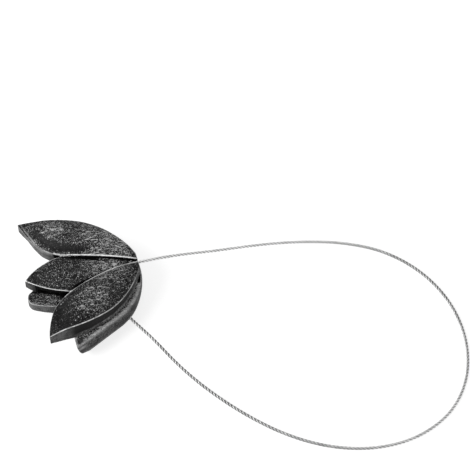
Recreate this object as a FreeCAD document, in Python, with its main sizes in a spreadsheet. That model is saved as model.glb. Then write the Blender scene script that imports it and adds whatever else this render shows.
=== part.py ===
"""Magnetic curtain holdback: a tulip in two cast halves, and a loop of wire rope.

Flower frame: u runs from the base to the petal tips, v to the near side, w up from
the plane where the halves meet. The part's frame has its origin under the middle of
the flower, with the tips towards -X and +Z up.
"""
import FreeCAD
import Part
import Sketcher

import math
import os

doc = FreeCAD.newDocument("curtain_holdback")

# Driving dimensions in millimetres and degrees
SIZES = {
    "base_place": 26.25,
    "front_root_along": 0.8,
    "front_root_inner": 0.5,
    "front_root_outer": 3.6,
    "front_lap_along": 33.0,
    "front_lap_across": 9.6,
    "front_bend_along": 44.0,
    "front_bend_across": 19.7,
    "front_tip_along": 48.2,
    "front_tip_across": 32.0,
    "front_flare_along": 40.0,
    "front_flare_across": 30.6,
    "front_side_along": 18.0,
    "front_side_across": 24.1,
    "front_inner_radius": 187.0,
    "front_bend_radius": 22.5,
    "front_mouth_radius": 57.0,
    "front_side_radius": 52.0,
    "front_flank_radius": 41.0,
    "front_crown_along": 27.7,
    "front_crown_across": 18.4,
    "front_crown_height": 10.6,
    "front_petal_lean": 34.2,
    "front_arch_radius": 92.0,
    "front_cross_radius": 16.0,
    "front_centre_length": 52.4,
    "front_centre_shoulder": 30.0,
    "front_centre_half_width": 10.5,
    "front_centre_root_half": 2.5,
    "front_centre_side_radius": 35.0,
    "front_centre_crown_along": 38.0,
    "front_centre_height": 8.6,
    "front_centre_arch_radius": 120.0,
    "front_centre_cross_radius": 28.0,
    "front_mouth_along": 38.0,
    "front_mouth_rise": 11.0,
    "front_gap_start": 35.0,
    "front_gap_end": 47.2,
    "front_gap_width": 21.0,
    "front_gap_height": 5.0,
    "back_depth": 14.0,
    "back_belly_radius": 11.0,
    "back_bend_along": 28.0,
    "back_bend_radius": 17.1,
    "back_petal_lean": 27.4,
    "back_petal_reach": 37.2,
    "back_petal_undercut": 4.1,
    "back_centre_root": 4.0,
    "back_centre_root_half": 5.2,
    "back_centre_shoulder": 30.0,
    "back_centre_half_width": 10.5,
    "back_centre_nose_along": 51.7,
    "back_centre_nose_half": 3.0,
    "back_centre_nose_radius": 4.5,
    "back_centre_side_radius": 48.0,
    "back_centre_lean": 5.5,
    "back_centre_crown_along": 26.0,
    "back_centre_depth": 11.0,
    "back_centre_arch_radius": 80.0,
    "back_centre_cross_radius": 18.0,
    "magnet_diameter": 15.0,
    "magnet_thickness": 3.8,
    "magnet_along": 24.0,
    "magnet_clearance": 0.1,
    "magnet_recess": 0.2,
    "wire_diameter": 1.5,
    "wire_clearance": 0.2,
    "wire_front_along": 9.0,
    "wire_front_height": 3.0,
    "wire_back_along": 13.18,
    "wire_back_across": 17.8,
    "wire_back_drop": 5.3,
    "wire_back_angle": 61.9,
    "cut_overrun": 40.0,
}
sheet = doc.addObject("Spreadsheet::Sheet", "sizes")
for row, (alias, number) in enumerate(SIZES.items(), start=1):
    sheet.set(f"A{row}", alias)
    sheet.set(f"B{row}", str(number))
    sheet.setAlias(f"B{row}", alias)
doc.recompute()

# Route of the wire rope in the part's frame, from the front half round to the back half
WIRE_ROUTE = [
    (17.25, 0.0, 17.0),
    (29.5, 0.0, 17.0),
    (44.5, 1.4, 14.7),
    (62.5, 2.9, 10.8),
    (82.5, 2.8, 6.6),
    (102.5, 1.2, 3.0),
    (121.5, -3.5, 1.1),
    (138.5, -13.5, 0.8),
    (151.5, -29.0, 0.75),
    (159.0, -48.0, 0.75),
    (159.5, -68.0, 0.75),
    (153.0, -87.0, 0.75),
    (140.0, -102.0, 0.75),
    (122.0, -110.5, 0.75),
    (102.5, -111.5, 0.75),
    (84.0, -105.5, 0.75),
    (67.5, -94.5, 0.75),
    (53.0, -80.0, 0.75),
    (40.74, -64.7, 2.2),
    (31.2, -50.0, 5.0),
    (23.68, -36.65, 8.2),
    (18.93, -28.77, 8.7),
    (13.07, -17.8, 8.7),
]
RUN_SHARE = 0.45


def size(rule):
    """Value of a sheet alias, with an optional minus sign in front, or of a plain zero."""
    sign = -1.0 if rule.startswith("-") else 1.0
    name = rule.lstrip("-")
    return 0.0 if name == "0" else sign * sheet.get(name)


def formula(rule):
    """Expression that other objects use for the same rule."""
    sign = "-" if rule.startswith("-") else ""
    return f"{sign}sizes.{rule.lstrip('-')}"


def arc_between(start, end, radius):
    """Arc from start to end that turns to the left and spans less than a half circle."""
    chord = end - start
    rise = math.sqrt(radius**2 - (chord.Length / 2) ** 2)
    left = FreeCAD.Vector(-chord.y, chord.x, 0).normalize()
    centre = (start + end) / 2 + left * rise
    circle = Part.Circle(centre, FreeCAD.Vector(0, 0, 1), radius)
    first = math.atan2(start.y - centre.y, start.x - centre.x)
    last = math.atan2(end.y - centre.y, end.x - centre.x)
    return Part.ArcOfCircle(circle, first, last)


def outline(name, corners, radii):
    """Closed sketch through corners, anticlockwise: an arc where a radius is given, else a line."""
    sketch = doc.addObject("Sketcher::SketchObject", name)
    spots = [FreeCAD.Vector(size(along), size(across), 0) for along, across in corners]
    for index, radius in enumerate(radii):
        start = spots[index]
        end = spots[(index + 1) % len(spots)]
        if radius is None:
            sketch.addGeometry(Part.LineSegment(start, end))
        else:
            sketch.addGeometry(arc_between(start, end, size(radius)))
    for index, radius in enumerate(radii):
        following = (index + 1) % len(radii)
        sketch.addConstraint(Sketcher.Constraint("Coincident", index, 2, following, 1))
        if radius is not None:
            spot = sketch.addConstraint(Sketcher.Constraint("Radius", index, size(radius)))
            sketch.setExpression(f"Constraints[{spot}]", formula(radius))
    for index, (along, across) in enumerate(corners):
        for kind, rule, axis in (("DistanceX", along, -2), ("DistanceY", across, -1)):
            if rule == "0":
                sketch.addConstraint(Sketcher.Constraint("PointOnObject", index, 1, axis))
                continue
            link = Sketcher.Constraint(kind, -1, 1, index, 1, size(rule))
            spot = sketch.addConstraint(link)
            sketch.setExpression(f"Constraints[{spot}]", formula(rule))
    return sketch


def prism(name, sketch, length):
    """Straight solid over a sketch, as long as the named size, up or down from the meeting plane."""
    solid = doc.addObject("Part::Extrusion", name)
    solid.Base = sketch
    solid.DirMode = "Custom"
    solid.Dir = FreeCAD.Vector(0, 0, -1 if length.startswith("-") else 1)
    solid.setExpression("LengthFwd", formula(length.lstrip("-")))
    solid.Solid = True
    return solid


def crown(name, arch, cross, along, across, height, lean):
    """Ring that lies along a petal, so that its outer side is the petal's swelling face."""
    ring = doc.addObject("Part::Torus", name)
    ring.setExpression("Radius1", f"sizes.{arch} - sizes.{cross}")
    ring.setExpression("Radius2", f"sizes.{cross}")
    place = f"vector({along}; {across}; {height})"
    ring.setExpression("Placement", f"placement({place}; rotation({lean}; 0; 90))")
    return ring


def common(name, first, second):
    shared = doc.addObject("Part::Common", name)
    shared.Base = first
    shared.Tool = second
    return shared


def mirrored(name, source):
    """Copy on the other side of the flower's middle plane."""
    copy = doc.addObject("Part::Mirroring", name)
    copy.Source = source
    copy.Base = FreeCAD.Vector(0, 0, 0)
    copy.Normal = FreeCAD.Vector(0, 1, 0)
    return copy


def fused(name, shapes):
    whole = doc.addObject("Part::MultiFuse", name)
    whole.Shapes = shapes
    whole.Refine = True
    return whole


def cylinder(name, radius, height, place, turn):
    rod = doc.addObject("Part::Cylinder", name)
    rod.setExpression("Radius", radius)
    rod.setExpression("Height", height)
    rod.setExpression("Placement", f"placement(vector({place}); rotation({turn}))")
    return rod


def seat(piece):
    """Takes a piece from the flower frame to the part's frame."""
    place = "vector(sizes.base_place; 0; sizes.back_depth)"
    piece.setExpression("Placement", f"placement({place}; rotation(180; 0; 0))")


def front_side_petal():
    corners = [
        ("front_root_along", "front_root_inner"),
        ("front_lap_along", "front_lap_across"),
        ("front_bend_along", "front_bend_across"),
        ("front_tip_along", "front_tip_across"),
        ("front_flare_along", "front_flare_across"),
        ("front_side_along", "front_side_across"),
        ("front_root_along", "front_root_outer"),
    ]
    radii = [
        "front_inner_radius",
        "front_bend_radius",
        "front_mouth_radius",
        None,
        "front_side_radius",
        "front_flank_radius",
        None,
    ]
    leaf = prism("front_side_leaf", outline("front_side_outline", corners, radii), "front_crown_height")
    swell = crown(
        "front_side_swell",
        "front_arch_radius",
        "front_cross_radius",
        "sizes.front_crown_along",
        "sizes.front_crown_across",
        "sizes.front_crown_height - sizes.front_arch_radius",
        "sizes.front_petal_lean",
    )
    return common("front_side_petal", leaf, swell)


def front_centre_petal():
    corners = [
        ("front_root_along", "-front_centre_root_half"),
        ("front_centre_shoulder", "-front_centre_half_width"),
        ("front_centre_length", "0"),
        ("front_centre_shoulder", "front_centre_half_width"),
        ("front_root_along", "front_centre_root_half"),
    ]
    radii = [None, "front_centre_side_radius", "front_centre_side_radius", None, None]
    leaf = prism("front_centre_leaf", outline("front_centre_outline", corners, radii), "front_centre_height")
    swell = crown(
        "front_centre_swell",
        "front_centre_arch_radius",
        "front_centre_cross_radius",
        "sizes.front_centre_crown_along",
        "0",
        "sizes.front_centre_height - sizes.front_centre_arch_radius",
        "0",
    )
    return common("front_centre_petal", leaf, swell)


def back_roll():
    """Both plump side petals: a round roll, bent round the base, with its ends cut on a slant."""
    height = "sizes.back_belly_radius - sizes.back_depth"
    bend = doc.addObject("Part::Torus", "back_bend")
    bend.setExpression("Radius1", "sizes.back_bend_radius")
    bend.setExpression("Radius2", "sizes.back_belly_radius")
    bend.setExpression("Angle3", "180 - 2 * sizes.back_petal_lean")
    bend_place = f"vector(sizes.back_bend_along; 0; {height})"
    bend_turn = "rotation(90 + sizes.back_petal_lean; 0; 0)"
    bend.setExpression("Placement", f"placement({bend_place}; {bend_turn})")
    leg = cylinder(
        "back_leg",
        "sizes.back_belly_radius",
        "2 * sizes.back_petal_reach",
        "sizes.back_bend_along - sizes.back_bend_radius * sin(sizes.back_petal_lean);"
        f"sizes.back_bend_radius * cos(sizes.back_petal_lean); {height}",
        "sizes.back_petal_lean; 90; 0",
    )
    bounds = doc.addObject("Part::Wedge", "back_roll_bounds")
    limits = {
        "Xmin": "-sizes.cut_overrun",
        "X2min": "-sizes.cut_overrun",
        "Xmax": "sizes.back_petal_reach - sizes.back_petal_undercut",
        "X2max": "sizes.back_petal_reach",
        "Ymin": "-sizes.back_depth",
        "Ymax": "0",
        "Zmin": "-2 * sizes.back_petal_reach",
        "Z2min": "-2 * sizes.back_petal_reach",
        "Zmax": "2 * sizes.back_petal_reach",
        "Z2max": "2 * sizes.back_petal_reach",
    }
    for limit, rule in limits.items():
        bounds.setExpression(limit, rule)
    bounds.setExpression("Placement", "placement(vector(0; 0; 0); rotation(0; 0; 90))")
    whole = fused("back_horseshoe", [bend, leg, mirrored("back_far_leg", leg)])
    return common("back_roll", whole, bounds)


def back_centre_petal():
    corners = [
        ("back_centre_root", "-back_centre_root_half"),
        ("back_centre_shoulder", "-back_centre_half_width"),
        ("back_centre_nose_along", "-back_centre_nose_half"),
        ("back_centre_nose_along", "back_centre_nose_half"),
        ("back_centre_shoulder", "back_centre_half_width"),
        ("back_centre_root", "back_centre_root_half"),
    ]
    side = "back_centre_side_radius"
    radii = [None, side, "back_centre_nose_radius", side, None, None]
    leaf = prism("back_centre_leaf", outline("back_centre_outline", corners, radii), "-back_depth")
    swell = crown(
        "back_centre_swell",
        "back_centre_arch_radius",
        "back_centre_cross_radius",
        "sizes.back_centre_crown_along",
        "0",
        "sizes.back_centre_arch_radius - sizes.back_centre_depth",
        "0",
    )
    petal = common("back_centre_petal", leaf, swell)
    petal.setExpression("Placement", "placement(vector(0; 0; 0); rotation(sizes.back_centre_lean; 0; 0))")
    return petal


def magnet_pocket(name, side):
    """Round pocket in the meeting face, upwards for side 1 and downwards for side -1."""
    return cylinder(
        name,
        "sizes.magnet_diameter / 2 + sizes.magnet_clearance",
        "sizes.magnet_thickness + sizes.magnet_recess",
        "sizes.magnet_along; 0; 0",
        "0; 0; 0" if side > 0 else "0; 0; 180",
    )


def wire_bore(name, place, turn):
    """Blind hole that starts at the wire's end and runs out through the casting's side."""
    return cylinder(
        name,
        "sizes.wire_diameter / 2 + sizes.wire_clearance",
        "sizes.cut_overrun",
        place,
        turn,
    )


def mouth_opening():
    """Slanted cut that lifts the front petals' undersides towards their tips."""
    block = doc.addObject("Part::Box", "front_mouth")
    block.setExpression("Length", "2 * sizes.cut_overrun")
    block.setExpression("Width", "4 * sizes.cut_overrun")
    block.setExpression("Height", "sizes.cut_overrun")
    corner = "vector(sizes.front_mouth_along; 2 * sizes.cut_overrun; 0)"
    block.setExpression("Placement", f"placement({corner}; rotation(0; -sizes.front_mouth_rise; 180))")
    return block


def mouth_gap():
    """Slot under the centre petal, open on both sides."""
    slot = doc.addObject("Part::Box", "front_gap")
    slot.setExpression("Length", "sizes.front_gap_end - sizes.front_gap_start")
    slot.setExpression("Width", "sizes.front_gap_width")
    slot.setExpression("Height", "sizes.front_gap_height")
    corner = "vector(sizes.front_gap_start; -sizes.front_gap_width / 2; 0)"
    slot.setExpression("Placement", f"placement({corner}; rotation(0; 0; 0))")
    return slot


def half(label, body, cuts):
    """One cast half: its petals, less its pocket, its wire hole and its openings."""
    casting = doc.addObject("Part::Cut", label)
    casting.Base = body
    casting.Tool = fused(f"{label}_cuts", cuts)
    casting.Label = label
    seat(casting)
    return casting


def front_flower():
    side = front_side_petal()
    petals = fused("front_petals", [side, mirrored("front_far_petal", side), front_centre_petal()])
    hole = wire_bore(
        "front_bore",
        "sizes.wire_front_along; 0; sizes.wire_front_height",
        "0; -90; 0",
    )
    cuts = [magnet_pocket("front_pocket", 1), hole, mouth_opening(), mouth_gap()]
    return half("front_flower", petals, cuts)


def back_flower():
    petals = fused("back_petals", [back_roll(), back_centre_petal()])
    hole = wire_bore(
        "back_bore",
        "sizes.wire_back_along; sizes.wire_back_across; -sizes.wire_back_drop",
        "180 - sizes.wire_back_angle; 90; 0",
    )
    return half("back_flower", petals, [magnet_pocket("back_pocket", -1), hole])


def magnet(label, side):
    """Disc magnet, seated on the floor of its pocket."""
    disc = cylinder(
        label,
        "sizes.magnet_diameter / 2",
        "sizes.magnet_thickness",
        "0; 0; 0",
        "0; 0; 0",
    )
    height = "sizes.magnet_recess" if side > 0 else "-sizes.magnet_recess - sizes.magnet_thickness"
    place = f"vector(sizes.base_place - sizes.magnet_along; 0; sizes.back_depth + {height})"
    disc.setExpression("Placement", f"placement({place}; rotation(0; 0; 0))")
    disc.Label = label
    return disc


def wire_rope():
    """Tube along the route: straight runs joined by the largest tangent arcs that they allow."""
    points = [FreeCAD.Vector(*spot) for spot in WIRE_ROUTE]
    edges = []
    radii = []
    last = points[0]
    for before, corner, after in zip(points, points[1:], points[2:]):
        inward = (corner - before).normalize()
        outward = (after - corner).normalize()
        turn = inward.getAngle(outward)
        reach = RUN_SHARE * min((corner - before).Length, (after - corner).Length)
        radius = reach / math.tan(turn / 2)
        start = corner - inward * reach
        end = corner + outward * reach
        bisector = (outward - inward).normalize()
        middle = corner + bisector * (radius / math.cos(turn / 2) - radius)
        edges.append(Part.LineSegment(last, start).toShape())
        edges.append(Part.Arc(start, middle, end).toShape())
        radii.append(radius)
        last = end
    edges.append(Part.LineSegment(last, points[-1]).toShape())
    path = Part.Wire(edges)
    length = path.Length
    ring = Part.Circle(points[0], points[1] - points[0], sheet.get("wire_diameter") / 2)
    tube = path.makePipeShell([Part.Wire(ring.toShape())], True, False)
    section = math.pi * (sheet.get("wire_diameter") / 2) ** 2
    print(f"wire length {length:.1f} mm, smallest radius {min(radii):.1f} mm")
    print(f"wire volume {tube.Volume:.2f} against {section * length:.2f} cubic mm")
    rope = doc.addObject("Part::Feature", "wire_rope")
    rope.Shape = tube
    rope.Label = "wire_rope"
    return rope


NODES = [
    front_flower(),
    back_flower(),
    magnet("front_magnet", 1),
    magnet("back_magnet", -1),
    wire_rope(),
]
doc.recompute()

for item in doc.Objects:
    if "Invalid" in item.State or "Error" in item.State:
        raise RuntimeError(f"{item.Name} did not build: {item.State}")
for node in NODES:
    if node.Shape.isNull() or not node.Shape.isValid():
        raise RuntimeError(f"{node.Label} has no valid shape")

os.makedirs("parts", exist_ok=True)
for node in NODES:
    node.Shape.exportStep(f"parts/{node.Label}.step")
    box = node.Shape.BoundBox
    print(f"{node.Label}: {len(node.Shape.Solids)} solid, {node.Shape.Volume:.0f} cubic mm, {box}")
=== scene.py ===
"""Magnetic curtain holdback: an antiqued tulip in two cast halves, on a loop of wire rope."""
import math

import bmesh
import bpy
import numpy as np
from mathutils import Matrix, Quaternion, Vector, noise
from mathutils.bvhtree import BVHTree
from mathutils.kdtree import KDTree


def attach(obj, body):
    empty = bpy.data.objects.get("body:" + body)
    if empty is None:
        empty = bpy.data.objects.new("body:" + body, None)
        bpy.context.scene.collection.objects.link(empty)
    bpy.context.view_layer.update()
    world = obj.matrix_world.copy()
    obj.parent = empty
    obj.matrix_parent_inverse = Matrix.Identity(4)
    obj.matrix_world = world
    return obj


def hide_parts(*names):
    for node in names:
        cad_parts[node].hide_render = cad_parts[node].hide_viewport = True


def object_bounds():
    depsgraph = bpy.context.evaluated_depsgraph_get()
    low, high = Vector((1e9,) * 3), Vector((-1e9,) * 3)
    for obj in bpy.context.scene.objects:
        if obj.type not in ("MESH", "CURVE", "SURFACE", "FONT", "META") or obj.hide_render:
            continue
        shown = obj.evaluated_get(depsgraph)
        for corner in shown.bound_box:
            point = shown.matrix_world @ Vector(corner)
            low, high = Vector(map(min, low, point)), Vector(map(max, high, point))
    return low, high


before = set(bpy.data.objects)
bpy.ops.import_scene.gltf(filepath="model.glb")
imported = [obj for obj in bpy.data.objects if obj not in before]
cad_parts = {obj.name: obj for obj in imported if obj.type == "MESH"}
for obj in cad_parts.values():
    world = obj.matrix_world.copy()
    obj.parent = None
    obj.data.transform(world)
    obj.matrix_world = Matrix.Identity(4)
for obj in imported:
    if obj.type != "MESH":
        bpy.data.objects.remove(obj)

CAD_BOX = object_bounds()
MM = 0.001
FLOWER_NODES = ("front_flower", "back_flower")
MAGNET_NODES = ("front_magnet", "back_magnet")
scene = bpy.context.scene


# Objects and meshes

def add_object(name, data):
    made = bpy.data.objects.new(name, data)
    scene.collection.objects.link(made)
    return made


def aim_from(item, place, aim):
    """Puts a camera or lamp at a place and turns it to its aim."""
    item.location = place
    item.rotation_euler = (Vector(aim) - Vector(place)).to_track_quat("-Z", "Y").to_euler()


def mesh_points(mesh, field):
    values = np.empty(len(mesh.vertices) * 3, dtype=np.float32)
    mesh.vertices.foreach_get(field, values)
    return values.reshape(-1, 3).astype(float)


def set_points(mesh, points):
    mesh.vertices.foreach_set("co", points.astype(np.float32).ravel())
    mesh.update()


def smooth_faces(mesh):
    mesh.polygons.foreach_set("use_smooth", [True] * len(mesh.polygons))


def store(mesh, traits):
    """Stores a value for each vertex under each trait's name, for the materials to read."""
    for name, values in traits.items():
        layer = mesh.attributes.new(name, "FLOAT", "POINT")
        layer.data.foreach_set("value", values.astype(np.float32))


# Camera

CAMERA_PLACE = Vector((-49.40, -434.12, 625.81)) * MM
CAMERA_AIM = Vector((74.81, 15.29, 0.0)) * MM
CAMERA_LENS = 127.7
SENSOR_WIDTH = 36.0
CLIP_START = 10 * MM


def add_camera():
    data = bpy.data.cameras.new("camera")
    data.lens = CAMERA_LENS
    data.sensor_width = SENSOR_WIDTH
    data.clip_start = CLIP_START
    camera = add_object("camera", data)
    aim_from(camera, CAMERA_PLACE, CAMERA_AIM)
    scene.camera = camera


add_camera()


# Node helpers

# Sockets of a mix node that are used for colours
MIX_FACTOR = 0
MIX_FIRST = 6
MIX_SECOND = 7
MIX_RESULT = 2

# Ranges of a noise texture's value: nearly all of it, and its middle
NOISE_RANGE = (0.3, 0.7)
NOISE_MIDDLE = (0.35, 0.65)

ZERO_TO_ONE = (0.0, 1.0)
ONE_TO_ZERO = (1.0, 0.0)


def new_material(name):
    material = bpy.data.materials.new(name)
    material.use_nodes = True
    tree = material.node_tree
    return material, tree, tree.nodes["Principled BSDF"]


def set_inputs(tree, node, values):
    """Sets plain values on a node's inputs, and links the output sockets among the values to them."""
    for name, value in values.items():
        if isinstance(value, bpy.types.NodeSocket):
            tree.links.new(value, node.inputs[name])
        else:
            node.inputs[name].default_value = value


def add_node(tree, kind, values=None, **settings):
    node = tree.nodes.new(kind)
    for name, value in settings.items():
        setattr(node, name, value)
    set_inputs(tree, node, values or {})
    return node


def object_place(tree):
    return add_node(tree, "ShaderNodeTexCoord").outputs["Object"]


def noise_value(tree, place, scale, detail=2.0, roughness=0.5):
    values = {"Vector": place, "Scale": scale, "Detail": detail, "Roughness": roughness}
    return add_node(tree, "ShaderNodeTexNoise", values).outputs["Fac"]


def cell_values(tree, place, scale, channel):
    """A random value for each cell of a cell texture, and the distance from the cell's middle."""
    cells = add_node(tree, "ShaderNodeTexVoronoi", {"Vector": place, "Scale": scale}).outputs
    channels = add_node(tree, "ShaderNodeSeparateColor", {"Color": cells["Color"]}).outputs
    return channels[channel], cells["Distance"]


def step_between(tree, value, limits, shares=ZERO_TO_ONE):
    """Smooth change from the first share to the second as value goes from the first limit to the second."""
    values = {
        "Value": value,
        "From Min": limits[0],
        "From Max": limits[1],
        "To Min": shares[0],
        "To Max": shares[1],
    }
    node = add_node(tree, "ShaderNodeMapRange", values, interpolation_type="SMOOTHSTEP")
    return node.outputs["Result"]


def math_of(tree, operation, first, *others):
    """The operation on the first value and the next, then on what comes out and the one after."""
    for other in others:
        node = add_node(tree, "ShaderNodeMath", {0: first, 1: other}, operation=operation)
        first = node.outputs["Value"]
    return first


def colour_mix(tree, factor, first, second):
    values = {MIX_FACTOR: factor, MIX_FIRST: first, MIX_SECOND: second}
    return add_node(tree, "ShaderNodeMix", values, data_type="RGBA").outputs[MIX_RESULT]


def attribute(tree, name):
    return add_node(tree, "ShaderNodeAttribute", attribute_name=name).outputs["Fac"]


def grey(level):
    return (level, level, level, 1.0)


# Wire rope: strands twisted round each other, along the route

ROPE_ROUTE = [
    (17.25, 0.0, 17.0),
    (29.5, 0.0, 17.0),
    (44.5, 1.8, 13.2),
    (62.5, 1.9, 9.7),
    (82.5, 2.3, 6.5),
    (102.5, 1.4, 3.0),
    (121.5, -2.9, 1.1),
    (139.0, -12.6, 0.8),
    (152.2, -28.6, 0.75),
    (159.1, -48.0, 0.75),
    (159.3, -68.3, 0.75),
    (153.0, -87.5, 0.75),
    (140.2, -102.7, 0.75),
    (122.0, -110.75, 0.75),
    (102.5, -111.2, 0.75),
    (83.7, -105.2, 0.75),
    (67.1, -94.3, 0.75),
    (52.6, -79.5, 0.75),
    (40.4, -64.4, 2.2),
    (31.0, -50.8, 5.0),
    (23.6, -37.0, 8.2),
    (18.93, -28.77, 8.7),
    (13.07, -17.8, 8.7),
]
ROPE_DIAMETER = 1.5 * MM
CURVE_STEPS = 40
STRANDS = 3
STRAND_RADIUS = ROPE_DIAMETER / 2 / (1 + 1 / math.sin(math.pi / STRANDS))
STRAND_SIDES = 12
LAY_LENGTH = 5.2 * MM

# Painted light and shade on the strands, lighter and darker by stretches, by length along the rope in
# millimetres
ROPE_LIGHT_PLACES = (0, 70, 90, 112, 125, 160, 190, 225, 250, 268, 285, 350, 375, 395)
ROPE_LIGHT_LEVELS = (1.0, 1.0, 0.8, 0.3, 0.0, 0.05, 0.3, 0.9, 0.8, 0.5, 0.05, 0.0, 0.1, 0.35)

# Greys of the steel, one set painted in shade and one painted in light along the rope: painted shade
# between the strands, and on them where tarnished and where clean
SHADED_STEEL = (0.11, 0.42, 0.58)
LIT_STEEL = (0.42, 0.84, 0.96)
RIDGE_LIMITS = (0.66, 0.92)
TARNISH_SCALE = 260.0
STEEL_GRAIN_SCALE = 900.0
STEEL_ROUGHNESS = (0.32, 0.5)
STEEL_METALLIC = 0.8


def rope_line():
    """Points along the smooth curve that the route steers."""
    data = bpy.data.curves.new("rope_line", "CURVE")
    data.dimensions = "3D"
    data.resolution_u = CURVE_STEPS
    spline = data.splines.new("NURBS")
    spline.points.add(len(ROPE_ROUTE) - 1)
    for point, place in zip(spline.points, ROPE_ROUTE):
        point.co = (*(Vector(place) * MM), 1.0)
    spline.order_u = 3
    spline.use_endpoint_u = True
    curve = add_object("rope_line", data)
    mesh = bpy.data.meshes.new_from_object(curve)
    points = [vertex.co.copy() for vertex in mesh.vertices]
    bpy.data.objects.remove(curve)
    bpy.data.meshes.remove(mesh)
    return points


def line_frames(points):
    """Direction and sideways vector at each point, carried along without twist."""
    frames = []
    side = Vector((0, 0, 1))
    for index in range(len(points)):
        before = points[max(index - 1, 0)]
        after = points[min(index + 1, len(points) - 1)]
        along = (after - before).normalized()
        side = (side - along * side.dot(along)).normalized()
        frames.append((along, side.copy()))
    return frames


def travelled(points):
    """Length along the line up to each point."""
    lengths = [0.0]
    for before, after in zip(points, points[1:]):
        lengths.append(lengths[-1] + (after - before).length)
    return lengths


def tube(centres, vertices, faces):
    """Adds one strand, a closed tube round the centres."""
    first = len(vertices)
    for centre, (along, side) in zip(centres, line_frames(centres)):
        for index in range(STRAND_SIDES):
            turn = Quaternion(along, 2 * math.pi * index / STRAND_SIDES)
            vertices.append(centre + turn @ side * STRAND_RADIUS)
    for ring in range(len(centres) - 1):
        start = first + ring * STRAND_SIDES
        for index in range(STRAND_SIDES):
            here = start + index
            beside = start + (index + 1) % STRAND_SIDES
            faces.append((here, beside, beside + STRAND_SIDES, here + STRAND_SIDES))
    last = first + (len(centres) - 1) * STRAND_SIDES
    faces.append(tuple(range(first + STRAND_SIDES - 1, first - 1, -1)))
    faces.append(tuple(range(last, last + STRAND_SIDES)))


def rope_mesh(points):
    frames = line_frames(points)
    travel = travelled(points)
    off_axis = ROPE_DIAMETER / 2 - STRAND_RADIUS
    vertices = []
    faces = []
    for strand in range(STRANDS):
        centres = []
        for point, (along, side), done in zip(points, frames, travel):
            angle = 2 * math.pi * (strand / STRANDS + done / LAY_LENGTH)
            centres.append(point + Quaternion(along, angle) @ side * off_axis)
        tube(centres, vertices, faces)
    mesh = bpy.data.meshes.new("rope")
    mesh.from_pydata(vertices, [], faces)
    smooth_faces(mesh)
    axis = np.tile(np.repeat(np.array(points), STRAND_SIDES, axis=0), (STRANDS, 1))
    painted_rope_light = np.interp(np.array(travel) / MM, ROPE_LIGHT_PLACES, ROPE_LIGHT_LEVELS)
    # ridge is the distance from the rope's axis, which the painted shade between the strands follows; the
    # other trait is painted light and shade along the rope
    traits = {
        "ridge": 2 * np.linalg.norm(np.array(vertices) - axis, axis=1) / ROPE_DIAMETER,
        "painted_rope_light": np.tile(np.repeat(painted_rope_light, STRAND_SIDES), STRANDS),
    }
    store(mesh, traits)
    return mesh


def steel_tone(tree, ridge, clean, greys):
    # The first grey is painted shade between the strands
    between, tarnished, bright = (grey(level) for level in greys)
    return colour_mix(tree, ridge, between, colour_mix(tree, clean, tarnished, bright))


def steel_material():
    material, tree, shader = new_material("wire_steel")
    place = object_place(tree)
    clean = step_between(tree, noise_value(tree, place, TARNISH_SCALE, detail=4.0), NOISE_RANGE)
    ridge = step_between(tree, attribute(tree, "ridge"), RIDGE_LIMITS)
    # Painted shade and painted light along the rope, mixed between the two sets of greys
    shaded_steel = steel_tone(tree, ridge, clean, SHADED_STEEL)
    painted_lit = steel_tone(tree, ridge, clean, LIT_STEEL)
    grain = noise_value(tree, place, STEEL_GRAIN_SCALE)
    values = {
        "Base Color": colour_mix(tree, attribute(tree, "painted_rope_light"), shaded_steel, painted_lit),
        "Roughness": step_between(tree, grain, NOISE_RANGE, STEEL_ROUGHNESS),
        "Metallic": STEEL_METALLIC,
    }
    set_inputs(tree, shader, values)
    return material


def add_rope():
    points = rope_line()
    rope = add_object("rope", rope_mesh(points))
    rope.data.materials.append(steel_material())
    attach(rope, "root")
    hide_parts("wire_rope")


add_rope()


# Places on the flower, in millimetres in its own frame

# A span holds the place where something is absent, then the place where it is full

FLOWER_BASE = 26.25
MEETING_PLANE = 14.0

# Side petal's inner edge: length along the flower, distance from its middle
INNER_EDGE = [
    (0.8, 0.5),
    (6.0, 1.7),
    (10.0, 2.6),
    (14.0, 3.6),
    (18.0, 4.7),
    (22.0, 5.9),
    (26.0, 7.1),
    (30.0, 8.5),
    (33.0, 9.6),
    (36.0, 11.2),
    (38.0, 12.6),
    (40.0, 14.4),
    (42.0, 16.7),
    (44.0, 19.7),
    (45.6, 23.0),
    (46.9, 26.4),
    (47.8, 29.5),
    (48.2, 32.0),
]
INNER_EDGE_STEPS = 12

# Rolled side petals of the back half
ROLL_INNER_SIDE = 9.0
ROLL_END = 40.0


def ramp(values, span):
    """0 at the span's first place and before it, 1 at its second and beyond, and straight between."""
    start, end = span
    return np.clip((values - start) / (end - start), 0.0, 1.0)


def hump(values, middle, width):
    """Smooth rise to 1 round a middle value."""
    return np.exp(-(((values - middle) / width) ** 2))


def within(values, low, high):
    return (values > low) & (values < high)


def flower_place(points):
    """Length along the flower, distance to its near side, height over the meeting plane."""
    along = FLOWER_BASE - points[:, 0] / MM
    return along, -points[:, 1] / MM, points[:, 2] / MM - MEETING_PLANE


def on_roll(along, across):
    return (np.abs(across) > ROLL_INNER_SIDE) & (along < ROLL_END)


def nearest_of(places):
    tree = KDTree(len(places))
    for index, place in enumerate(places):
        tree.insert(place, index)
    tree.balance()
    return tree


def distances_to(tree, points):
    return np.array([tree.find(point)[2] for point in points])


def inner_edge_gap(along, across):
    """How far a place lies from the side petal's inner edge, towards the middle of the flower."""
    edge_along, edge_across = np.array(INNER_EDGE).T
    return np.interp(along, edge_along, edge_across) - np.abs(across)


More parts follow.
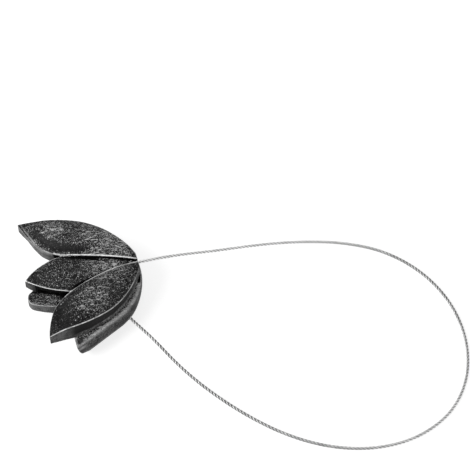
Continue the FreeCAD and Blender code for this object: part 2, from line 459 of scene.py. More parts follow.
def edge_distance(along, across):
    """Distance in plan from the side petals' inner and mouth edges."""
    places = []
    for before, after in zip(INNER_EDGE, INNER_EDGE[1:]):
        for share in np.linspace(0, 1, INNER_EDGE_STEPS, endpoint=False):
            place = np.array(before) + share * (np.array(after) - np.array(before))
            places.append((*place, 0.0))
    flat = np.column_stack((along, np.abs(across), np.zeros(len(along))))
    return distances_to(nearest_of(places), flat)


# Front half: laps, hollows and the reach of its side petals

LAP_BASE = 1.5
LAP_END = 37.0
LAP_HEIGHT = 4.0
PETAL_TOP = 4.6
NEAR_LAP_DEPTH = 0.7
FAR_LAP_DEPTH = 0.9
LAP_GAP = (3.0, 0.0)
LAP_BASE_FADE = (14.0, 30.0)
LAP_END_FADE = (LAP_END, 33.0)
LAP_TOP_FADE = (PETAL_TOP, 5.0)

VALLEY_DEPTH = 0.8
VALLEY_PLACE = 3.2
VALLEY_WIDTH = 1.7
VALLEY_ALONG = (15.0, 28.0)
VALLEY_ACROSS = (29.0, 22.0)
NEAR_VALLEY_SHARE = 0.5

NEAR_FLARE = 0.4
FAR_FLARE = 1.4
FLARE_ALONG = (10.0, 44.0)
FLARE_ACROSS = (9.0, 16.0)
FLARE_HALF_WIDTH = 32.0
FAR_SWELL = 0.7
FAR_SWELL_ACROSS = (12.0, 22.0)
FAR_SWELL_BASE = (4.0, 12.0)
FAR_SWELL_END = (32.0, 20.0)
UNDERCUT_ALONG = (36.0, 41.0)
UNDERCUT_HEIGHTS = (7.5, 3.5)
UNDERCUT_PLACES = (15.5, 18.5, 25.5, 31.5)
UNDERCUT_DEPTHS = (0.0, 0.55, 1.0, 0.0)


def front_valley(points):
    """How deep a place lies in the hollow behind the raised edges of the side petals, from 0 to 1."""
    along, across, height = flower_place(points)
    on_petal = inner_edge_gap(along, across) < 0
    hollow = hump(edge_distance(along, across), VALLEY_PLACE, VALLEY_WIDTH)
    fade = ramp(along, VALLEY_ALONG) * ramp(np.abs(across), VALLEY_ACROSS)
    side = np.where(across > 0, NEAR_VALLEY_SHARE, 1.0)
    return hollow * on_petal * fade * side * (height > PETAL_TOP)


def sink_front(points):
    """Lowers the centre petal where the side petals lie over it, and the hollows behind their edges."""
    along, across, height = flower_place(points)
    gap = inner_edge_gap(along, across)
    near = ramp(gap, LAP_GAP) * (gap > 0)
    fade = ramp(along, LAP_END_FADE) * ramp(along, LAP_BASE_FADE)
    depth = np.where(across > 0, NEAR_LAP_DEPTH, FAR_LAP_DEPTH)
    sunk = depth * near * fade * ramp(height, LAP_TOP_FADE) + VALLEY_DEPTH * front_valley(points)
    points[:, 2] -= sunk * MM
    return points


def flare_front(points):
    """Draws the far side petal out and the near one in, swells the far flank, undercuts the far mouth."""
    along, across, height = flower_place(points)
    reach = ramp(along, FLARE_ALONG) * ramp(np.abs(across), FLARE_ACROSS)
    flare = np.where(across > 0, NEAR_FLARE, FAR_FLARE)
    points[:, 0] += flare * MM * reach * across / FLARE_HALF_WIDTH
    flank = ramp(-across, FAR_SWELL_ACROSS) * ramp(along, FAR_SWELL_BASE) * ramp(along, FAR_SWELL_END)
    points[:, 1] += FAR_SWELL * MM * flank
    mouth = ramp(along, UNDERCUT_ALONG) * ramp(height, UNDERCUT_HEIGHTS)
    points[:, 0] += MM * mouth * np.interp(-across, UNDERCUT_PLACES, UNDERCUT_DEPTHS)
    return points


# Back half: thinner nose, fuller rolled petals and the groove along their top

NOSE_LIFT = 0.27
NOSE_ALONG = (34.0, 42.0)
NOSE_ACROSS = (13.0, 11.0)

ROLL_SWELL = 1.3
ROLL_SWELL_TOP = (-1.5, -4.5)
ROLL_SWELL_FOOT = (-13.5, -10.5)
ROLL_SWELL_BASE = (1.0, 9.0)
ROLL_SWELL_TIP = (35.5, 31.5)

ROLL_VALLEY_DEPTH = 1.1
ROLL_VALLEY_PLACE = 2.0
ROLL_VALLEY_WIDTH = 0.8
ROLL_VALLEY_FLOOR = -1.4
ROLL_VALLEY_CLEARANCE = (0.4, 1.4)
ROLL_VALLEY_BREADTH = (3.0, 4.0)


def lift_nose(points):
    """Thins the back centre petal's nose from below."""
    along, across, height = flower_place(points)
    nose = ramp(along, NOSE_ALONG) * ramp(np.abs(across), NOSE_ACROSS)
    points[:, 2] += NOSE_LIFT * MM * nose * np.clip(-height, 0.0, None)
    return points


def roll_valley(points, rims, front):
    """How deep a place lies in the groove along the rolled back petals, from 0 to 1."""
    along, across, height = flower_place(points)
    groove = np.zeros(len(points))
    chosen = np.flatnonzero((height > ROLL_VALLEY_FLOOR) & on_roll(along, across))
    places = [Vector(point) for point in points[chosen]]
    from_rim = distances_to(rims, places) / MM
    from_front = np.array([front.find_nearest(place)[3] for place in places]) / MM
    groove[chosen] = hump(from_rim, ROLL_VALLEY_PLACE, ROLL_VALLEY_WIDTH)
    groove[chosen] *= ramp(from_front, ROLL_VALLEY_CLEARANCE)
    groove[chosen] *= ramp(from_rim + from_front, ROLL_VALLEY_BREADTH)
    return groove


def swell_roll(points, normals):
    """Fills out the flanks of the rolled back petals, inside the solid's box."""
    along, _, height = flower_place(points)
    flank = ramp(height, ROLL_SWELL_TOP) * ramp(height, ROLL_SWELL_FOOT)
    ends = ramp(along, ROLL_SWELL_BASE) * ramp(along, ROLL_SWELL_TIP)
    outward = np.clip(normals[:, 1] * np.sign(points[:, 1]), 0.0, 1.0)
    points += normals * (ROLL_SWELL * MM * flank * ends * outward)[:, None]
    return np.clip(points, np.array(CAD_BOX[0]), np.array(CAD_BOX[1]))


# Cast halves: finely meshed copies of the solids, with the forms above and rounded edges

VOXEL = 0.3 * MM
EASING = 0.5
ROUNDING_STEPS = 3
ROLL_ROUNDING_STEPS = 30
ROLL_ROUNDING_REACH = (3.0, 1.5)

# Least angle between a rim's two faces, in radians, and least upward share of one's normal
RIM_ANGLE = 0.5
RIM_RISE = 0.5
RIM_STEP = 0.2 * MM
WELD_DISTANCE = 0.005 * MM


def remesh(piece):
    piece.data.remesh_voxel_size = VOXEL
    piece.data.remesh_voxel_adaptivity = 0.0
    with bpy.context.temp_override(object=piece, active_object=piece, selected_objects=[piece]):
        bpy.ops.object.voxel_remesh()


def mesh_links(mesh):
    """The mesh's edges, and how many neighbours each vertex has."""
    edges = np.empty(len(mesh.edges) * 2, dtype=np.int32)
    mesh.edges.foreach_get("vertices", edges)
    edges = edges.reshape(-1, 2)
    return edges, np.bincount(edges.ravel(), minlength=len(mesh.vertices)).astype(float)


def neighbour_mean(links, values):
    """Mean of each vertex's neighbours."""
    edges, counts = links
    total = np.zeros_like(values)
    np.add.at(total, edges[:, 0], values[edges[:, 1]])
    np.add.at(total, edges[:, 1], values[edges[:, 0]])
    return total / (counts[:, None] if values.ndim == 2 else counts)


def eased(links, values, share, steps):
    """The values, drawn towards the mean of their neighbours by a share at each step."""
    for _ in range(steps):
        values = values + share * (neighbour_mean(links, values) - values)
    return values


def solid_tree(mesh):
    corners = [vertex.co for vertex in mesh.vertices]
    return BVHTree.FromPolygons(corners, [list(polygon.vertices) for polygon in mesh.polygons])


def sharp_edges(mesh):
    """Places along the solid's sharp edges that bound a face turned upwards."""
    shell = bmesh.new()
    shell.from_mesh(mesh)
    bmesh.ops.remove_doubles(shell, verts=shell.verts, dist=WELD_DISTANCE)
    places = []
    for edge in shell.edges:
        if len(edge.link_faces) != 2 or not edge.is_convex or edge.calc_face_angle() < RIM_ANGLE:
            continue
        if max(face.normal.z for face in edge.link_faces) < RIM_RISE:
            continue
        start, end = (vertex.co.copy() for vertex in edge.verts)
        steps = max(1, math.ceil((end - start).length / RIM_STEP))
        places.extend(start.lerp(end, step / steps) for step in range(steps))
    shell.free()
    return nearest_of(places)


def sculpted_points(node, mesh, rims, front):
    """The mesh's points, moved to the half's small forms."""
    points = mesh_points(mesh, "co")
    if node == "front_flower":
        return flare_front(sink_front(points))
    points[:, 2] -= ROLL_VALLEY_DEPTH * roll_valley(points, rims, front) * MM
    return lift_nose(swell_roll(points, mesh_points(mesh, "normal")))


def rounded_points(node, mesh, rims):
    """The mesh's points with its edges eased, and more so at the rims of the rolled back petals."""
    links = mesh_links(mesh)
    points = eased(links, mesh_points(mesh, "co"), EASING, ROUNDING_STEPS)
    if node == "front_flower":
        return points
    along, across, _ = flower_place(points)
    near_rim = ramp(distances_to(rims, points) / MM, ROLL_ROUNDING_REACH)
    share = EASING * near_rim * on_roll(along, across)
    return eased(links, points, share[:, None], ROLL_ROUNDING_STEPS)


def rounded_half(node, rims, front):
    """A finely meshed copy of a node, with its small forms and its edges eased."""
    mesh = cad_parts[node].data.copy()
    mesh.materials.clear()
    piece = add_object(f"{node}_cast", mesh)
    remesh(piece)
    set_points(piece.data, sculpted_points(node, piece.data, rims, front))
    remesh(piece)
    set_points(piece.data, rounded_points(node, piece.data, rims))
    smooth_faces(piece.data)
    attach(piece, "root")
    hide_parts(node)
    return piece


# Worn paint, painted shade and painted light: what each place on a cast half shows, stored for the material

# Height that parts the front half's petals from the edge where the halves meet
FRONT_FOOT = 1.0
# Height under which a place counts as the back half's
BACK_TOP = 0.5
# Upward share of a normal that parts steep faces from level ones
STEEP = 0.5
CENTRE_HALF_WIDTH = 9.0

# Strip along the top of the rolled back petals
STRIP_HEIGHT = -0.6
STRIP_HALF_WIDTH = 1.2

# Near side petal at the flower's base
NEAR_BASE_ALONG = (7.0, 3.0)
NEAR_BASE_ACROSS = 2.0
NEAR_BASE_HEIGHTS = (0.2, 7.0)

# Wall under the near side petal's edge, and its foot
NEAR_WALL_ALONG = (39.0, 33.0)
NEAR_WALL_ACROSS = 9.0
WALL_FOOT_HEIGHTS = (3.0, 2.2)


class Skin:
    """Where each vertex of a cast half lies on the flower, and which way it faces."""

    def __init__(self, mesh, rims):
        self.points = mesh_points(mesh, "co")
        self.normals = mesh_points(mesh, "normal")
        self.facing = self.normals[:, 0]
        self.rise = self.normals[:, 2]
        self.along, self.across, self.height = flower_place(self.points)
        self.off_middle = np.abs(self.across)
        self.from_rim = distances_to(rims, self.points) / MM
        self.gap = inner_edge_gap(self.along, self.across)
        self.lapped = (self.height > LAP_HEIGHT) & within(self.along, LAP_BASE, LAP_END)
        self.roll = on_roll(self.along, self.across)
        self.strip = self.roll & (np.abs(self.height - STRIP_HEIGHT) < STRIP_HALF_WIDTH)
        at_base = (self.across > NEAR_BASE_ACROSS) & within(self.height, *NEAR_BASE_HEIGHTS)
        self.near_base = ramp(self.along, NEAR_BASE_ALONG) * at_base
        on_wall = (self.height > 0.0) & (self.across > NEAR_WALL_ACROSS) & (self.rise < STEEP)
        self.near_wall = ramp(self.along, NEAR_WALL_ALONG) * on_wall
        self.wall_foot = ramp(self.height, WALL_FOOT_HEIGHTS) * self.near_wall


# Silver along the edges

UPWARD_RISE = (0.2, 0.6)

LIP_REACH = (0.6, 0.4)
FAINT_LIP_BASE = (2.5, 4.0)
FAINT_LIP_END = (14.0, 11.0)
FAINT_LIP_LOSS = 0.6

RIM_REACH = 0.24
ROLL_RIM_REACH = 0.9
RIM_FADE = 1.9
LOW_RIM_SHARE = 0.38
NOSE_RIM_SHARE = 0.5
MOUTH_RIM_ACROSS = 10.0
MOUTH_RIM_PLACES = (16.0, 22.0)
MOUTH_RIM_SHARES = (0.6, 0.4)
FAR_RIM_ACROSS = (12.0, 18.0)
FAR_RIM_END = 44.0
FAR_RIM_LOSS = 0.6
NEAR_BASE_LOSS = 0.8

# Painted highlight on the far mouth's wall, fading down from its rim
FAR_MOUTH_ACROSS = 12.0
FAR_MOUTH_RISE = 0.6
FAR_MOUTH_REACH = (2.4, 0.0)
FAR_MOUTH_GLOW = 0.32

ROLL_END_START = 30.0
END_BORDER_HEIGHT = 0.3
END_BORDER_FACING = -0.5
END_BORDER_WIDTH = 0.22
END_BORDER_SHARE = 0.8

# Painted highlight on the tips of the rolled petals: length along, height, and the width of each
GLEAM_ALONG = 34.5
GLEAM_LENGTH = 1.8
GLEAM_HEIGHT = -2.0
GLEAM_WIDTH = 0.8
GLEAM_ACROSS = 30.0
GLEAM_SHARE = 0.7


def lip_silver(skin):
    """Silver on the side petals' inner edges, where they lie over the centre petal."""
    lip = ramp(edge_distance(skin.along, skin.across), LIP_REACH) * (skin.gap < 0.0) * skin.lapped
    faint = ramp(skin.along, FAINT_LIP_BASE) * ramp(skin.along, FAINT_LIP_END) * (skin.across > 0)
    return lip * (1 - FAINT_LIP_LOSS * faint)


def edge_silver(skin):
    """Silver on the solid's rims, fainter low down, on the far side and at the near base."""
    reach = np.where(skin.roll & (skin.height < FRONT_FOOT), ROLL_RIM_REACH, RIM_REACH)
    rim = ramp(skin.from_rim, (RIM_FADE * reach, reach))
    at_mouth = (skin.along > LAP_END) & (skin.across < -MOUTH_RIM_ACROSS)
    rim *= np.where(at_mouth, np.interp(-skin.across, MOUTH_RIM_PLACES, MOUTH_RIM_SHARES), 1.0)
    low_share = np.where(skin.along > ROLL_END, NOSE_RIM_SHARE, LOW_RIM_SHARE)
    rim *= np.where(skin.height < FRONT_FOOT, low_share, 1.0)
    far_side = ramp(-skin.across, FAR_RIM_ACROSS) * (skin.along < FAR_RIM_END)
    return rim * (1 - FAR_RIM_LOSS * far_side) * (1 - NEAR_BASE_LOSS * skin.near_base)


def steep_silver_and_highlights(skin):
    """Painted highlights on steep faces inside the far mouth and on the tips of the rolled petals, and
    silver round the rolled petals' ends.
    """
    far_mouth = (skin.along > LAP_END) & (skin.across < -FAR_MOUTH_ACROSS)
    far_mouth &= (skin.height > FRONT_FOOT) & (skin.rise < FAR_MOUTH_RISE)
    glow = FAR_MOUTH_GLOW * ramp(skin.from_rim, FAR_MOUTH_REACH) * far_mouth
    at_end = skin.roll & (skin.along > ROLL_END_START) & (skin.height < END_BORDER_HEIGHT)
    border = END_BORDER_SHARE * hump(skin.facing, END_BORDER_FACING, END_BORDER_WIDTH) * at_end
    gleam = hump(skin.along, GLEAM_ALONG, GLEAM_LENGTH) * hump(skin.height, GLEAM_HEIGHT, GLEAM_WIDTH)
    gleam *= GLEAM_SHARE * (skin.off_middle > GLEAM_ACROSS)
    return np.maximum(glow, np.maximum(border, gleam))


def rim_silver_and_highlights(skin):
    # Silver on the rims, with the painted highlights of steep faces
    upward = ramp(skin.rise, UPWARD_RISE)
    return np.maximum(np.maximum(edge_silver(skin), lip_silver(skin)) * upward, steep_silver_and_highlights(skin))


# Shade where the surroundings close in

SHADE_REACH = 9.0 * MM
SHADE_RAYS = 14
SHADE_SPREAD = 0.9
SHADE_LIFT = 0.25
SHADE_EASING_STEPS = 2
STRIP_SHADE_SHARE = 0.25

NEAR_SEAM_WIDTH = 0.3
FAR_SEAM_WIDTH = 0.4
SEAM_OVERLAP = 0.25
SEAM_SHADE = 0.6
CENTRE_BASE_END = 18.0
CENTRE_BASE_SHADE = 0.15
CAST_GAP = (2.6, 0.0)
CAST_SHADE = 0.25

WALL_SHADE = 0.18
WALL_FOOT_LIGHT = 0.12

NOOK_HALF_WIDTH = 9.5
NOOK_START = 34.0
NOOK_END = 48.5
NOOK_SHADE = 0.26

# Shadow that the front centre petal's slanting edge throws on the one below
OVERHANG_HALF_WIDTH = 10.5
OVERHANG_START = 35.0
OVERHANG_EDGE_ALONG = 44.0
OVERHANG_EDGE_ACROSS = 4.7
OVERHANG_SLANT = 0.5
OVERHANG_FADE = 1.2
OVERHANG_SHADE = 0.29


def shade_rays():
    """Directions spread evenly round the upward one."""
    golden = math.pi * (3 - math.sqrt(5))
    rays = []
    for index in range(SHADE_RAYS):
        rise = 1 - (index + 0.5) / SHADE_RAYS * SHADE_SPREAD
        flat = math.sqrt(1 - rise * rise)
        rays.append(Vector((flat * math.cos(golden * index), flat * math.sin(golden * index), rise)))
    return rays


def closeness(skin, trees):
    """How far the surroundings close in on each point, from 0 to 1."""
    rays = shade_rays()
    shade = np.zeros(len(skin.points))
    for index, (point, normal) in enumerate(zip(skin.points, skin.normals)):
        up = Vector(normal)
        turn = up.to_track_quat("Z", "Y")
        start = Vector(point) + up * SHADE_LIFT * MM
        for ray in rays:
            near = SHADE_REACH
            for tree in trees:
                distance = tree.ray_cast(start, turn @ ray, near)[3]
                if distance is not None:
                    near = min(near, distance)
            shade[index] += 1 - near / SHADE_REACH
    return shade / SHADE_RAYS


def centre_shade(skin, shade, rim):
    """Lightens the centre petal's base and darkens it beside the petals that lie over it."""
    on_centre = skin.lapped & (skin.gap > 0.0)
    at_base = on_centre & (skin.along < CENTRE_BASE_END)
    shade = np.where(at_base, np.minimum(shade, CENTRE_BASE_SHADE), shade)
    cast = ramp(skin.gap, CAST_GAP) * on_centre * (skin.across < 0)
    seam_width = np.where(skin.across > 0, NEAR_SEAM_WIDTH, FAR_SEAM_WIDTH)
    seam = ramp(skin.gap, (seam_width, 0.0)) * (skin.gap > -SEAM_OVERLAP) * skin.lapped
    return np.maximum(shade, np.maximum(CAST_SHADE * cast, SEAM_SHADE * seam * (1 - rim)))


def mouth_shade(skin, shade):
    """Darkens the wall of the front centre petal's mouth, and the petal below it."""
    nook = (skin.off_middle < NOOK_HALF_WIDTH) & within(skin.along, NOOK_START, NOOK_END)
    nook &= (skin.height > BACK_TOP) & (skin.rise < STEEP)
    shade = np.where(nook, np.maximum(shade, NOOK_SHADE), shade)
    below = (skin.off_middle < OVERHANG_HALF_WIDTH) & (skin.along > OVERHANG_START)
    below &= (skin.height < BACK_TOP) & (skin.rise > STEEP)
    edge = OVERHANG_EDGE_ACROSS + OVERHANG_SLANT * (OVERHANG_EDGE_ALONG - skin.along)
    shadow = OVERHANG_SHADE * np.clip((edge - skin.across) / OVERHANG_FADE, 0.0, 1.0)
    return np.where(below, np.maximum(shade, shadow), shade)


def paint_shade(skin, links, trees, rim):
    shade = eased(links, closeness(skin, trees), EASING, SHADE_EASING_STEPS)
    shade = np.where(skin.strip, STRIP_SHADE_SHARE * shade, shade)
    shade = centre_shade(skin, shade, rim)
    wall_shade = WALL_SHADE - WALL_FOOT_LIGHT * skin.wall_foot
    shade = (1 - skin.near_wall) * shade + skin.near_wall * wall_shade
    return mouth_shade(skin, shade)


# Rubbed paint, painted light and shade on the walls, and the cast surface

FRONT_WORN = 0.22
BACK_WORN = 0.5
STRIP_WORN = 0.65
WALL_FOOT_WORN = 0.8
MOST_WORN = 1.2

# Patches rubbed through to silver: length along the flower, distance to its near side, radius, strength
WORN_PATCHES = [
    (10.0, -12.0, 10.0, 0.8),
    (24.0, -20.0, 11.0, 0.28),
    (38.0, -24.0, 9.0, 0.45),
    (16.0, 1.0, 9.0, 0.5),
    (38.0, 0.0, 11.0, 0.24),
    (26.0, 18.0, 8.0, 0.65),
    (10.0, 10.0, 8.0, 0.28),
]

# Painted light on the walls: lighter towards the petals' tips and at the flower's base, with painted shade
# on the ends of the rolled petals
CENTRE_TIP_START = 48.0
SIDE_TIP_START = 36.0
TIP_FADE = 6.0
LIT_BASE_ALONG = (7.0, 2.0)
ROLL_END_FACING = -0.55

# Painted light and shade on the rolled back petals' flanks, by height over the meeting plane: painted shade
# part way down, painted light below it and at the top
ROLL_HEIGHTS = (-13.0, -10.0, -7.0, -4.5, -3.0, -1.0, 0.0)
ROLL_PAINTED_LIGHT = (1.2, 1.3, 1.0, 0.5, 0.55, 0.9, 0.9)

WALL_RISE = (0.8125, 0.1875)
WALL_FOOT_LOSS = 0.6

# Uneven surface: size of its waves and how deep they are
CAST_SIZE = 9
CAST_DEPTH = 0.14
GRAIN_SIZE = 1.1
GRAIN_DEPTH = 0.06


def worn_paint(skin):
    """How far the paint is rubbed through to silver."""
    worn = np.where(skin.height > FRONT_FOOT, FRONT_WORN, np.where(skin.strip, STRIP_WORN, BACK_WORN))
    for along, across, radius, strength in WORN_PATCHES:
        apart = ((skin.along - along) ** 2 + (skin.across - across) ** 2) / radius**2
        worn += strength * np.exp(-apart)
    return np.clip(np.maximum(worn, WALL_FOOT_WORN * skin.wall_foot), 0.0, MOST_WORN)


def painted_wall_light(skin):
    """Painted light on steep faces: lighter at the tips and the base, painted light and shade along the
    rolled petals, painted shade on their ends.
    """
    on_centre = (skin.off_middle < CENTRE_HALF_WIDTH) & (skin.height > FRONT_FOOT)
    tip_start = np.where(on_centre, CENTRE_TIP_START, SIDE_TIP_START)
    painted_lit = ramp(skin.along, (tip_start, tip_start + TIP_FADE)) + ramp(skin.along, LIT_BASE_ALONG)
    painted_lit = np.maximum(painted_lit, skin.wall_foot)
    at_end = (skin.along > ROLL_END_START) & (skin.facing < ROLL_END_FACING)
    flank = np.where(at_end, 0.0, np.interp(skin.height, ROLL_HEIGHTS, ROLL_PAINTED_LIGHT))
    return np.where(skin.roll & (skin.height < BACK_TOP), flank, painted_lit)


def steep_wall(skin):
    """How far a face is a wall, which takes painted light apart from the petals' tops."""
    wall = ramp(np.abs(skin.rise), WALL_RISE)
    return wall * (1 - skin.near_base) * (1 - WALL_FOOT_LOSS * skin.wall_foot)


def uneven_depth(skin):
    """How deep the cast surface lies at each point, in millimetres."""
    depth = np.empty(len(skin.points))
    for index, point in enumerate(skin.points):
        place = Vector(point)
        cast = 0.5 + 0.5 * noise.noise(place / (CAST_SIZE * MM))
        grain = 0.5 + 0.5 * noise.noise(place / (GRAIN_SIZE * MM))
        depth[index] = CAST_DEPTH * cast + GRAIN_DEPTH * grain
    return depth


def wear_shade_and_light(piece, rims, trees, front):
    """Stores what the paint follows, wear with painted shade and painted light, then gives the surface its
    cast unevenness.
    """
    mesh = piece.data
    skin = Skin(mesh, rims)
    rim = rim_silver_and_highlights(skin)
    # The rim holds silver edges and painted highlights, the shade painted shade, and the tips painted light
    # on the walls
    traits = {
        "rim": rim,
        "wall": steep_wall(skin),
        "shade": paint_shade(skin, mesh_links(mesh), trees, rim),
        "worn": worn_paint(skin),
        "tips": painted_wall_light(skin),
        "valley": np.maximum(front_valley(skin.points), roll_valley(skin.points, rims, front)),
    }
    store(mesh, traits)
    set_points(mesh, skin.points - skin.normals * uneven_depth(skin)[:, None] * MM)


# Antiqued resin: black paint, rubbed through to silver on edges and in specks, with painted shade, painted
# light on the walls and painted highlights on a few edges

# Painted shade: the stored shade thins the specks and the wall light, and dims the paint towards near black
OPEN_AIR_SHADES = (0.12, 0.42)
DEEP_SHADES = (0.12, 0.34)
DEEP_SHARES = (0.0, 0.95)
DEEP_GREY = 0.002

CLOUD_SCALE = 110.0
COAT_GREYS = (0.005, 0.013)

# Strokes along the petals: their turn, how far they are drawn out, and their scales
STROKE_TURN = math.radians(24)
STROKE_STRETCH = (0.22, 1, 1)
STROKE_SCALE = 520.0
STROKE_SHARES = (0.65, 1.0)
STREAK_SCALE = 1500.0
STREAK_LIMITS = (0.58, 0.68)
STREAK_DENSITIES = (0.35, 0.7)
VALLEY_LIMITS = (0.1, 0.8)
VALLEY_SHARES = (1.0, 0.35)

GRAIN_CELL_SCALE = 3400.0
GRAIN_CELL_SHARE = 0.5
GRAIN_NOISE_SCALE = 2700.0
GRAIN_ROUGHNESS = 0.6
GRIT_LIMITS = (0.5, 1.0)
GRIT_SHARES = (0.5, 1.5)
SPECK_LIMITS = (0.975, 1.255)
SPECK_DENSITIES = (0.0, 0.4)
SPECK_GAIN = 0.3

FLECK_SCALE = 800.0
FLECK_GAIN = 0.1
FLECK_CHANCE = 0.94
FLECK_RADII = (0.12, 0.3)
SILVER_GREY = 0.5

# Walls painted lighter than the tops as painted light, mottled at random
MOTTLE_SCALE = 330.0
MOTTLE_SHARES = (0.4, 1.3)
WALL_LIGHT_GREYS = (0.012, 0.17)

EDGE_BREAK_SCALE = 900.0
EDGE_BREAK_LIMITS = (0.3, 0.5)
EDGE_BREAK_SHARES = (0.4, 1.0)
EDGE_FADE_SCALE = 170.0
EDGE_FADE_LIMITS = (0.35, 0.55)
EDGE_FADE_SHARES = (0.6, 1.0)
EDGE_GREY = 0.95

SPECK_SHINE = 0.6
SILVER_METALLIC = 0.15
SILVER_ROUGHNESS = (0.55, 0.36)
GLOSS_SHADES = (0.1, 0.3)
GLOSS_LEVELS = (0.12, 0.0)
BUMP_SCALE = 1400.0
BUMP_STRENGTH = 0.3
BUMP_DISTANCE = 0.15 * MM


def stroke_place(tree, place):
    """Coordinates drawn out along the petals, alike on both sides of the flower."""
    parts = add_node(tree, "ShaderNodeSeparateXYZ", {"Vector": place}).outputs
    across = add_node(tree, "ShaderNodeMath", {0: parts["Y"]}, operation="ABSOLUTE").outputs["Value"]
    joined = add_node(tree, "ShaderNodeCombineXYZ", {"X": parts["X"], "Y": across, "Z": parts["Z"]})
    values = {
        "Vector": joined.outputs["Vector"],
        "Rotation": (0, 0, STROKE_TURN),
        "Scale": STROKE_STRETCH,
    }
    return add_node(tree, "ShaderNodeMapping", values, vector_type="POINT").outputs["Vector"]


def rubbed_density(tree, strokes, open_air):
    """How closely the silver specks stand."""
    drawn = noise_value(tree, strokes, STROKE_SCALE, detail=3.0)
    share = step_between(tree, drawn, NOISE_MIDDLE, STROKE_SHARES)
    dry = step_between(tree, attribute(tree, "valley"), VALLEY_LIMITS, VALLEY_SHARES)
    return math_of(tree, "MULTIPLY", attribute(tree, "worn"), share, open_air, dry)


def paint_grains(tree, place):
    """Fine grain of the paint, from small cells and a noise."""
    drawn, _ = cell_values(tree, place, GRAIN_CELL_SCALE, "Red")
    fine = noise_value(tree, place, GRAIN_NOISE_SCALE, detail=2.0, roughness=GRAIN_ROUGHNESS)
    return math_of(tree, "ADD", math_of(tree, "MULTIPLY", drawn, GRAIN_CELL_SHARE), fine)


def silver_specks(tree, grains, density):
    raised = math_of(tree, "ADD", grains, math_of(tree, "MULTIPLY", density, SPECK_GAIN))
    specks = step_between(tree, raised, SPECK_LIMITS)
    return math_of(tree, "MULTIPLY", specks, step_between(tree, density, SPECK_DENSITIES))


def silver_streaks(tree, strokes, density):
    streaks = step_between(tree, noise_value(tree, strokes, STREAK_SCALE, detail=1.0), STREAK_LIMITS)
    return math_of(tree, "MULTIPLY", streaks, step_between(tree, density, STREAK_DENSITIES))


def silver_flecks(tree, place, density, open_air):
    """Single larger flecks, in a few of the cells."""
    chosen, distance = cell_values(tree, place, FLECK_SCALE, "Green")
    chance = math_of(tree, "ADD", chosen, math_of(tree, "MULTIPLY", density, FLECK_GAIN))
    fleck = math_of(tree, "GREATER_THAN", chance, FLECK_CHANCE)
    spot = step_between(tree, distance, FLECK_RADII, ONE_TO_ZERO)
    return math_of(tree, "MULTIPLY", fleck, spot, open_air)


def black_coat(tree, place):
    clouds = step_between(tree, noise_value(tree, place, CLOUD_SCALE, detail=3.0), NOISE_MIDDLE)
    dark, light = (grey(level) for level in COAT_GREYS)
    return colour_mix(tree, clouds, dark, light)


def lit_wall_coat(tree, place, grains):
    """Painted light on the steep faces, mottled at random."""
    blotches = noise_value(tree, place, MOTTLE_SCALE, detail=4.0)
    mottle = step_between(tree, blotches, NOISE_RANGE, MOTTLE_SHARES)
    grit = step_between(tree, grains, GRIT_LIMITS, GRIT_SHARES)
    tone = math_of(tree, "MULTIPLY", mottle, grit)
    dark, light = (grey(level) for level in WALL_LIGHT_GREYS)
    return colour_mix(tree, math_of(tree, "MULTIPLY", attribute(tree, "tips"), tone), dark, light)


def silver_edge_and_highlights(tree, place):
    """Silver on the edges, with the painted highlights stored among them, broken here and there and faded
    in stretches.
    """
    breaks = noise_value(tree, place, EDGE_BREAK_SCALE, detail=3.0)
    broken = step_between(tree, breaks, EDGE_BREAK_LIMITS, EDGE_BREAK_SHARES)
    stretches = noise_value(tree, place, EDGE_FADE_SCALE, detail=2.0)
    faded = step_between(tree, stretches, EDGE_FADE_LIMITS, EDGE_FADE_SHARES)
    return math_of(tree, "MULTIPLY", attribute(tree, "rim"), broken, faded)


def fine_bump(tree, place):
    height = noise_value(tree, place, BUMP_SCALE, detail=3.0)
    values = {"Strength": BUMP_STRENGTH, "Distance": BUMP_DISTANCE, "Height": height}
    return add_node(tree, "ShaderNodeBump", values).outputs["Normal"]


def resin_material():
    material, tree, shader = new_material("antiqued_resin")
    place = object_place(tree)
    strokes = stroke_place(tree, place)
    shade = attribute(tree, "shade")
    open_air = step_between(tree, shade, OPEN_AIR_SHADES, ONE_TO_ZERO)
    density = rubbed_density(tree, strokes, open_air)
    grains = paint_grains(tree, place)
    specks = silver_specks(tree, grains, density)
    streaks = silver_streaks(tree, strokes, density)
    flecks = silver_flecks(tree, place, density, open_air)
    bare = math_of(tree, "MAXIMUM", specks, streaks, flecks)
    rubbed = colour_mix(tree, bare, black_coat(tree, place), grey(SILVER_GREY))
    # Painted light on the steep faces, held back where painted shade closes in
    wall = math_of(tree, "MULTIPLY", attribute(tree, "wall"), open_air)
    sided = colour_mix(tree, wall, rubbed, lit_wall_coat(tree, place, grains))
    # Painted shade: the paint goes near black where the stored shade is deep
    deep = step_between(tree, shade, DEEP_SHADES, DEEP_SHARES)
    dimmed = colour_mix(tree, deep, sided, grey(DEEP_GREY))
    edge = silver_edge_and_highlights(tree, place)
    silver = math_of(tree, "MAXIMUM", edge, math_of(tree, "MULTIPLY", specks, SPECK_SHINE))
    values = {
        "Base Color": colour_mix(tree, edge, dimmed, grey(EDGE_GREY)),
        "Metallic": math_of(tree, "MULTIPLY", silver, SILVER_METALLIC),
        "Roughness": step_between(tree, silver, ZERO_TO_ONE, SILVER_ROUGHNESS),
        "Specular IOR Level": step_between(tree, shade, GLOSS_SHADES, GLOSS_LEVELS),
        "Normal": fine_bump(tree, place),
    }
    set_inputs(tree, shader, values)
    return material


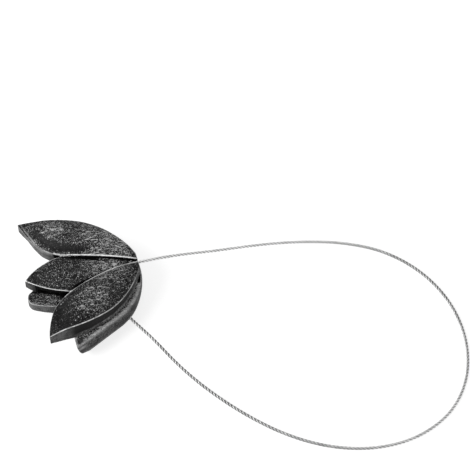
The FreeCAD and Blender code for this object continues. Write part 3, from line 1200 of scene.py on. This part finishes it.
def add_halves():
    resin = resin_material()
    solids = [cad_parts[node].data for node in FLOWER_NODES]
    front = solid_tree(solids[0])
    half_rims = [sharp_edges(solid) for solid in solids]
    halves = [rounded_half(node, rims, front) for node, rims in zip(FLOWER_NODES, half_rims)]
    trees = [solid_tree(half.data) for half in halves]
    for half, rims in zip(halves, half_rims):
        wear_shade_and_light(half, rims, trees, front)
        half.data.materials.append(resin)


add_halves()


# Magnets: the solids as they are, in nickel

NICKEL_TONE_SCALE = 300.0
NICKEL_GREYS = (0.6, 0.72)
NICKEL_GRAIN_SCALE = 1200.0
NICKEL_ROUGHNESS = (0.18, 0.32)
NICKEL_METALLIC = 1.0


def nickel_material():
    material, tree, shader = new_material("magnet_nickel")
    place = object_place(tree)
    tone = step_between(tree, noise_value(tree, place, NICKEL_TONE_SCALE, detail=3.0), NOISE_RANGE)
    dark, light = (grey(level) for level in NICKEL_GREYS)
    grain = noise_value(tree, place, NICKEL_GRAIN_SCALE, detail=2.0)
    values = {
        "Base Color": colour_mix(tree, tone, dark, light),
        "Roughness": step_between(tree, grain, NOISE_RANGE, NICKEL_ROUGHNESS),
        "Metallic": NICKEL_METALLIC,
    }
    set_inputs(tree, shader, values)
    return material


def dress_magnets():
    nickel = nickel_material()
    for node in MAGNET_NODES:
        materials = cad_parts[node].data.materials
        materials.clear()
        materials.append(nickel)


dress_magnets()


# Floor and light

FLOOR_REACH = 3.0
FLOOR_GREY = 0.4
FLOOR_GLOW = 0.76
WORLD_GREY = 1.0
WORLD_LEVELS = (0.5, 1.0)
KEY_PLACE = (-0.6, -0.15, 0.62)
KEY_AIM = (0.03, 0.0, 0.0)
KEY_WIDTH = 0.6
KEY_POWER = 6.0


def floor_material():
    """Paint that lights the object a little, and looks white to the camera."""
    material = bpy.data.materials.new("floor_white")
    material.use_nodes = True
    tree = material.node_tree
    tree.nodes.clear()
    rays = add_node(tree, "ShaderNodeLightPath").outputs
    kinds = ("Is Camera Ray", "Is Glossy Ray", "Is Transmission Ray")
    seen = math_of(tree, "MAXIMUM", *(rays[kind] for kind in kinds))
    paint = add_node(tree, "ShaderNodeBsdfDiffuse", {"Color": grey(FLOOR_GREY)})
    glow = add_node(tree, "ShaderNodeEmission", {"Strength": math_of(tree, "MULTIPLY", seen, FLOOR_GLOW)})
    both = add_node(tree, "ShaderNodeAddShader", {0: paint.outputs[0], 1: glow.outputs[0]})
    add_node(tree, "ShaderNodeOutputMaterial", {"Surface": both.outputs[0]})
    return material


def add_floor():
    mesh = bpy.data.meshes.new("floor")
    corners = [(x * FLOOR_REACH, y * FLOOR_REACH, 0) for x, y in ((-1, -1), (1, -1), (1, 1), (-1, 1))]
    mesh.from_pydata(corners, [], [(0, 1, 2, 3)])
    floor = add_object("floor", mesh)
    mesh.materials.append(floor_material())


def add_world():
    world = bpy.data.worlds.new("studio")
    world.use_nodes = True
    tree = world.node_tree
    seen = add_node(tree, "ShaderNodeLightPath").outputs["Is Camera Ray"]
    strength = step_between(tree, seen, ZERO_TO_ONE, WORLD_LEVELS)
    set_inputs(tree, tree.nodes["Background"], {"Color": grey(WORLD_GREY), "Strength": strength})
    scene.world = world


def add_key_light():
    data = bpy.data.lights.new("key", "AREA")
    data.shape = "DISK"
    data.size = KEY_WIDTH
    data.energy = KEY_POWER
    aim_from(add_object("key", data), KEY_PLACE, KEY_AIM)


add_floor()
add_world()
add_key_light()
scene.view_settings.view_transform = "Standard"
